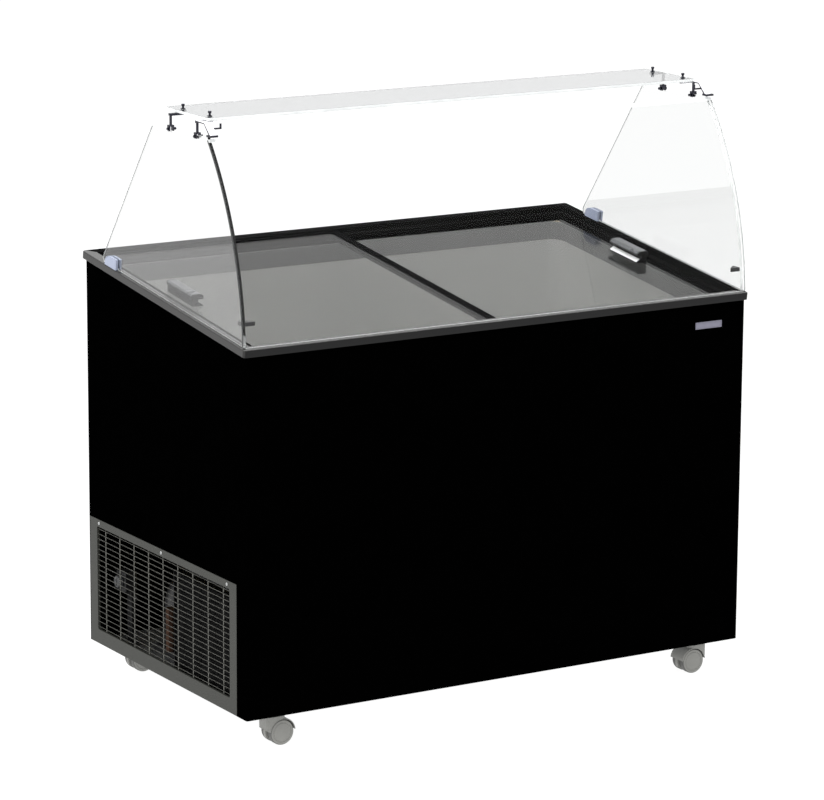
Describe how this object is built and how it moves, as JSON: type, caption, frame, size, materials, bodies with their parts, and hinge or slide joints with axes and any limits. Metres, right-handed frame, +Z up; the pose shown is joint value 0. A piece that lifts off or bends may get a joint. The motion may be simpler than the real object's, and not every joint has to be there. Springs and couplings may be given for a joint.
{
  "type": "display chest freezer",
  "caption": "Sloped-top black chest freezer on castors, with sliding glass lids under a curved glass canopy with a shelf and side machine grille.",
  "frame": {"origin": "on the floor under the middle of the cabinet", "axes": "+Z up, -Y towards the customer's side with the curved glass, -X towards the machine compartment"},
  "size_m": [1.212, 0.7038, 1.2688],
  "materials": {
    "black_steel": "semi-gloss black coated steel sheet",
    "galvanised_steel": "dull zinc-coated sheet",
    "pu_foam": null,
    "white_liner": "light coated metal liner, satin",
    "grey_collar": "grey moulded plastic, satin",
    "rim_plastic": "black extruded plastic, glossy",
    "black_plastic": "black moulded plastic",
    "lid_frame_plastic": "black extruded plastic, satin",
    "handle_plastic": "dark grey moulded plastic, glossy",
    "canopy_glass": "clear tempered glass, polished edges",
    "lid_glass": "faintly tinted tempered glass",
    "brush_seal": "black pile brush",
    "bracket_metal": "dark polished metal",
    "holder_plastic": "blue-grey moulded plastic",
    "grille_metal": "dark grey coated metal, satin",
    "copper": "copper tube",
    "compressor_black": "black painted steel shell",
    "condenser_fins": "thin plain fins",
    "aluminium": "plain sheet",
    "castor_grey": "grey moulded plastic",
    "castor_tread": "dark hard tread",
    "zinc_steel": "zinc-plated steel",
    "badge_plate": "plain satin nameplate, no text"
  },
  "bodies": {
    "root": {"badge_plate": "badge_plate", "base_tray": "galvanised_steel", "castor_plate_front_left": "zinc_steel", "castor_plate_front_right": "zinc_steel", "castor_plate_rear_left": "zinc_steel", "castor_plate_rear_right": "zinc_steel", "compressor": "compressor_black", "condenser": "condenser_fins", "discharge_pipe": "copper", "evaporator_coil": "copper", "fan_motor": "compressor_black", "fan_shroud": "galvanised_steel", "filter_drier": "copper", "front_bracket_left": "bracket_metal", "front_bracket_right": "bracket_metal", "front_clip_left": "black_plastic", "front_clip_right": "black_plastic", "front_glass": "canopy_glass", "front_panel": "black_steel", "front_shelf_knob_left": "bracket_metal", "front_shelf_knob_right": "bracket_metal", "grille_bars": "grille_metal", "grille_frame": "grille_metal", "insulation": "pu_foam", "left_side_glass": "canopy_glass", "left_side_panel": "black_steel", "liner_collar": "grey_collar", "liner_tub": "white_liner", "mains_inlet": "black_plastic", "rear_bracket_left": "bracket_metal", "rear_bracket_right": "bracket_metal", "rear_glass_holder_left": "holder_plastic", "rear_glass_holder_right": "holder_plastic", "rear_panel": "black_steel", "rear_shelf_knob_left": "bracket_metal", "rear_shelf_knob_right": "bracket_metal", "right_side_glass": "canopy_glass", "right_side_panel": "black_steel", "thermostat": "black_plastic", "top_rim": "rim_plastic", "top_shelf": "canopy_glass"},
    "left_lid": {"left_lid_frame": "lid_frame_plastic", "left_lid_glass": "lid_glass", "left_lid_handle": "handle_plastic", "left_lid_brush": "brush_seal"},
    "right_lid": {"right_lid_frame": "lid_frame_plastic", "right_lid_glass": "lid_glass", "right_lid_handle": "handle_plastic"},
    "fan_rotor": {"fan_blade": "aluminium"},
    "thermostat_dial": {"thermostat_knob": "handle_plastic"},
    "swivel_front_left": {"castor_hood_front_left": "castor_grey"},
    "wheels_front_left": {"castor_wheels_front_left": "castor_tread"},
    "swivel_front_right": {"castor_hood_front_right": "castor_grey"},
    "wheels_front_right": {"castor_wheels_front_right": "castor_tread"},
    "swivel_rear_left": {"castor_hood_rear_left": "castor_grey"},
    "wheels_rear_left": {"castor_wheels_rear_left": "castor_tread"},
    "swivel_rear_right": {"castor_hood_rear_right": "castor_grey"},
    "wheels_rear_right": {"castor_wheels_rear_right": "castor_tread"}
  },
  "joints": [
    {"name": "left_lid_slide", "type": "slide", "parent": "root", "child": "left_lid", "axis": [1, 0, 0], "range_m": [0, 0.5]},
    {"name": "right_lid_slide", "type": "slide", "parent": "root", "child": "right_lid", "axis": [1, 0, 0], "range_m": [-0.5, 0]},
    {"name": "fan_spin", "type": "hinge", "parent": "root", "child": "fan_rotor", "pos_m": [-0.53, -0.14, 0.19], "axis": [1, 0, 0], "continuous": true},
    {"name": "thermostat_turn", "type": "hinge", "parent": "root", "child": "thermostat_dial", "pos_m": [-0.5773, 0.255, 0.215], "axis": [-1, 0, 0], "range_deg": [0, 290]},
    {"name": "swivel_front_left_turn", "type": "hinge", "parent": "root", "child": "swivel_front_left", "pos_m": [-0.525, -0.3, 0.06], "axis": [0, 0, 1], "continuous": true},
    {"name": "swivel_front_right_turn", "type": "hinge", "parent": "root", "child": "swivel_front_right", "pos_m": [0.525, -0.3, 0.06], "axis": [0, 0, 1], "continuous": true},
    {"name": "swivel_rear_left_turn", "type": "hinge", "parent": "root", "child": "swivel_rear_left", "pos_m": [-0.525, 0.3, 0.06], "axis": [0, 0, 1], "continuous": true},
    {"name": "swivel_rear_right_turn", "type": "hinge", "parent": "root", "child": "swivel_rear_right", "pos_m": [0.525, 0.3, 0.06], "axis": [0, 0, 1], "continuous": true},
    {"name": "wheels_front_left_roll", "type": "hinge", "parent": "swivel_front_left", "child": "wheels_front_left", "pos_m": [-0.505, -0.3, 0.0265], "axis": [0, 1, 0], "continuous": true},
    {"name": "wheels_front_right_roll", "type": "hinge", "parent": "swivel_front_right", "child": "wheels_front_right", "pos_m": [0.505, -0.3, 0.0265], "axis": [0, 1, 0], "continuous": true},
    {"name": "wheels_rear_left_roll", "type": "hinge", "parent": "swivel_rear_left", "child": "wheels_rear_left", "pos_m": [-0.505, 0.3, 0.0265], "axis": [0, 1, 0], "continuous": true},
    {"name": "wheels_rear_right_roll", "type": "hinge", "parent": "swivel_rear_right", "child": "wheels_rear_right", "pos_m": [0.505, 0.3, 0.0265], "axis": [0, 1, 0], "continuous": true}
  ]
}
